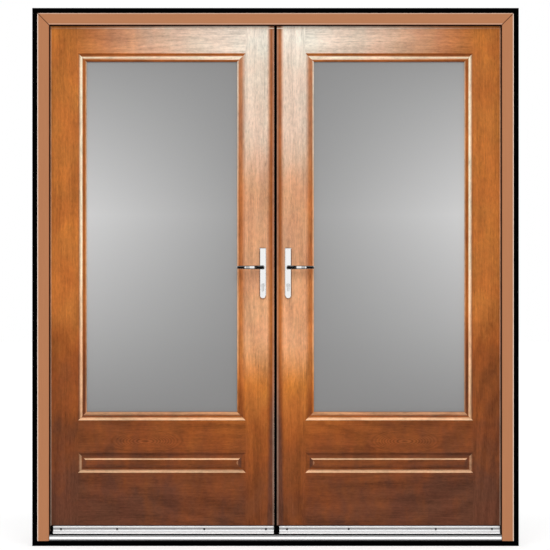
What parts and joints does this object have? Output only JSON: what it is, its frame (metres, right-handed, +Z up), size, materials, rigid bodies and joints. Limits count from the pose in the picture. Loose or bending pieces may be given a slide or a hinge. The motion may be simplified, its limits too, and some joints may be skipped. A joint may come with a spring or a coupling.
{
  "type": "french doors",
  "caption": "Inward-opening glazed french doors with frame, low threshold, lever handles, hook lock, shoot bolts, flag hinges and weather bars.",
  "frame": {"origin": "middle of the sill's underside", "axes": "+X to the right seen from outside, +Y into the house, +Z up"},
  "size_m": [1.935, 0.154, 2.14],
  "materials": {
    "frame_foil": "flat light brown foil on the frame's extrusion",
    "oak_skin": "moulded skin with a stained golden oak grain, satin lacquer",
    "oak_cassette": "moulded glazing frame in the same stain",
    "timber": "planed softwood",
    "foam": "rigid foam",
    "satin_glass": "satin etched glass",
    "aluminium": "clear anodised extrusion",
    "chrome": "polished chrome plate",
    "steel": "zinc plated steel",
    "black_plastic": "black extrusion",
    "rubber": "black weather seal"
  },
  "bodies": {
    "frame": {"frame_head": "frame_foil", "frame_jamb_left": "frame_foil", "frame_jamb_right": "frame_foil", "frame_steels": "steel", "frame_gasket": "rubber", "add_on_profiles": "black_plastic", "threshold": "aluminium", "threshold_seal": "rubber", "sub_sill": "black_plastic", "frame_hinge_flags": "chrome", "hinge_pins": "chrome", "bolt_keeps": "chrome"},
    "active_leaf": {"active_outer_skin": "oak_skin", "active_inner_skin": "oak_skin", "active_timber": "timber", "active_foam": "foam", "active_outer_cassette": "oak_cassette", "active_inner_cassette": "oak_cassette", "active_glass": "satin_glass", "active_spacer": "aluminium", "active_weather_bar": "aluminium", "active_bar_ends": "black_plastic", "active_bar_screws": "black_plastic", "active_hinge_flags": "chrome", "active_handle_plates": "chrome", "active_cylinder": "aluminium", "active_lock_strip": "aluminium", "active_lock_cases": "steel"},
    "passive_leaf": {"passive_outer_skin": "oak_skin", "passive_inner_skin": "oak_skin", "passive_timber": "timber", "passive_foam": "foam", "passive_outer_cassette": "oak_cassette", "passive_inner_cassette": "oak_cassette", "passive_glass": "satin_glass", "passive_spacer": "aluminium", "passive_weather_bar": "aluminium", "passive_bar_ends": "black_plastic", "passive_bar_screws": "black_plastic", "passive_hinge_flags": "chrome", "passive_handle_plates": "chrome", "passive_cylinder": "aluminium", "passive_keep_strip": "aluminium", "passive_lock_case": "steel", "meeting_profile": "black_plastic", "meeting_gasket": "rubber"},
    "active_handle": {"active_levers": "chrome", "active_spindle": "steel"},
    "active_lock_plug": {"active_plug": "aluminium"},
    "latch": {"latch_bolt": "steel"},
    "dead_bolt": {"deadbolt": "steel"},
    "upper_hook": {"hook_top": "steel"},
    "lower_hook": {"hook_bottom": "steel"},
    "lock_rods": {"drive_rods": "steel"},
    "passive_handle": {"passive_levers": "chrome", "passive_spindle": "steel"},
    "passive_lock_plug": {"passive_plug": "aluminium"},
    "upper_shoot_bolt": {"shoot_bolt_top": "steel"},
    "lower_shoot_bolt": {"shoot_bolt_bottom": "steel"}
  },
  "joints": [
    {"name": "active_leaf_swing", "type": "hinge", "parent": "frame", "child": "active_leaf", "pos_m": [-0.9155, 0.044, 0.048], "axis": [0, 0, 1], "range_deg": [0, 100]},
    {"name": "passive_leaf_swing", "type": "hinge", "parent": "frame", "child": "passive_leaf", "pos_m": [0.9155, 0.044, 0.048], "axis": [0, 0, -1], "range_deg": [0, 100]},
    {"name": "active_handle_turn", "type": "hinge", "parent": "active_leaf", "child": "active_handle", "pos_m": [-0.0505, 0.0125, 1.1084], "axis": [0, 1, 0], "range_deg": [-40, 40], "stiffness_Nm_per_rad": 5},
    {"name": "passive_handle_turn", "type": "hinge", "parent": "passive_leaf", "child": "passive_handle", "pos_m": [0.0505, 0.0125, 1.1084], "axis": [0, 1, 0], "range_deg": [-40, 40], "stiffness_Nm_per_rad": 5},
    {"name": "active_plug_turn", "type": "hinge", "parent": "active_leaf", "child": "active_lock_plug", "pos_m": [-0.0505, 0.0125, 1.0364], "axis": [0, 1, 0], "continuous": true},
    {"name": "passive_plug_turn", "type": "hinge", "parent": "passive_leaf", "child": "passive_lock_plug", "pos_m": [0.0505, 0.0125, 1.0364], "axis": [0, 1, 0], "continuous": true},
    {"name": "latch_slide", "type": "slide", "parent": "active_leaf", "child": "latch", "axis": [1, 0, 0], "range_m": [0, 0.012]},
    {"name": "rod_slide", "type": "slide", "parent": "active_leaf", "child": "lock_rods", "axis": [0, 0, 1], "range_m": [0, 0.02]},
    {"name": "deadbolt_slide", "type": "slide", "parent": "active_leaf", "child": "dead_bolt", "axis": [1, 0, 0], "range_m": [0, 0.02]},
    {"name": "upper_hook_swing", "type": "hinge", "parent": "active_leaf", "child": "upper_hook", "pos_m": [-0.0315, 0.0125, 1.78], "axis": [0, -1, 0], "range_deg": [0, 85]},
    {"name": "lower_hook_swing", "type": "hinge", "parent": "active_leaf", "child": "lower_hook", "pos_m": [-0.0315, 0.0125, 0.42], "axis": [0, -1, 0], "range_deg": [0, 85]},
    {"name": "upper_bolt_slide", "type": "slide", "parent": "passive_leaf", "child": "upper_shoot_bolt", "axis": [0, 0, 1], "range_m": [0, 0.02]},
    {"name": "lower_bolt_slide", "type": "slide", "parent": "passive_leaf", "child": "lower_shoot_bolt", "axis": [0, 0, -1], "range_m": [0, 0.02]}
  ],
  "couplings": [
    {"joint": "deadbolt_slide", "follows": "rod_slide", "ratio": 1},
    {"joint": "upper_hook_swing", "follows": "rod_slide", "rad_per_m": 74.176},
    {"joint": "lower_hook_swing", "follows": "rod_slide", "rad_per_m": 74.176},
    {"joint": "lower_bolt_slide", "follows": "upper_bolt_slide", "ratio": 1}
  ]
}
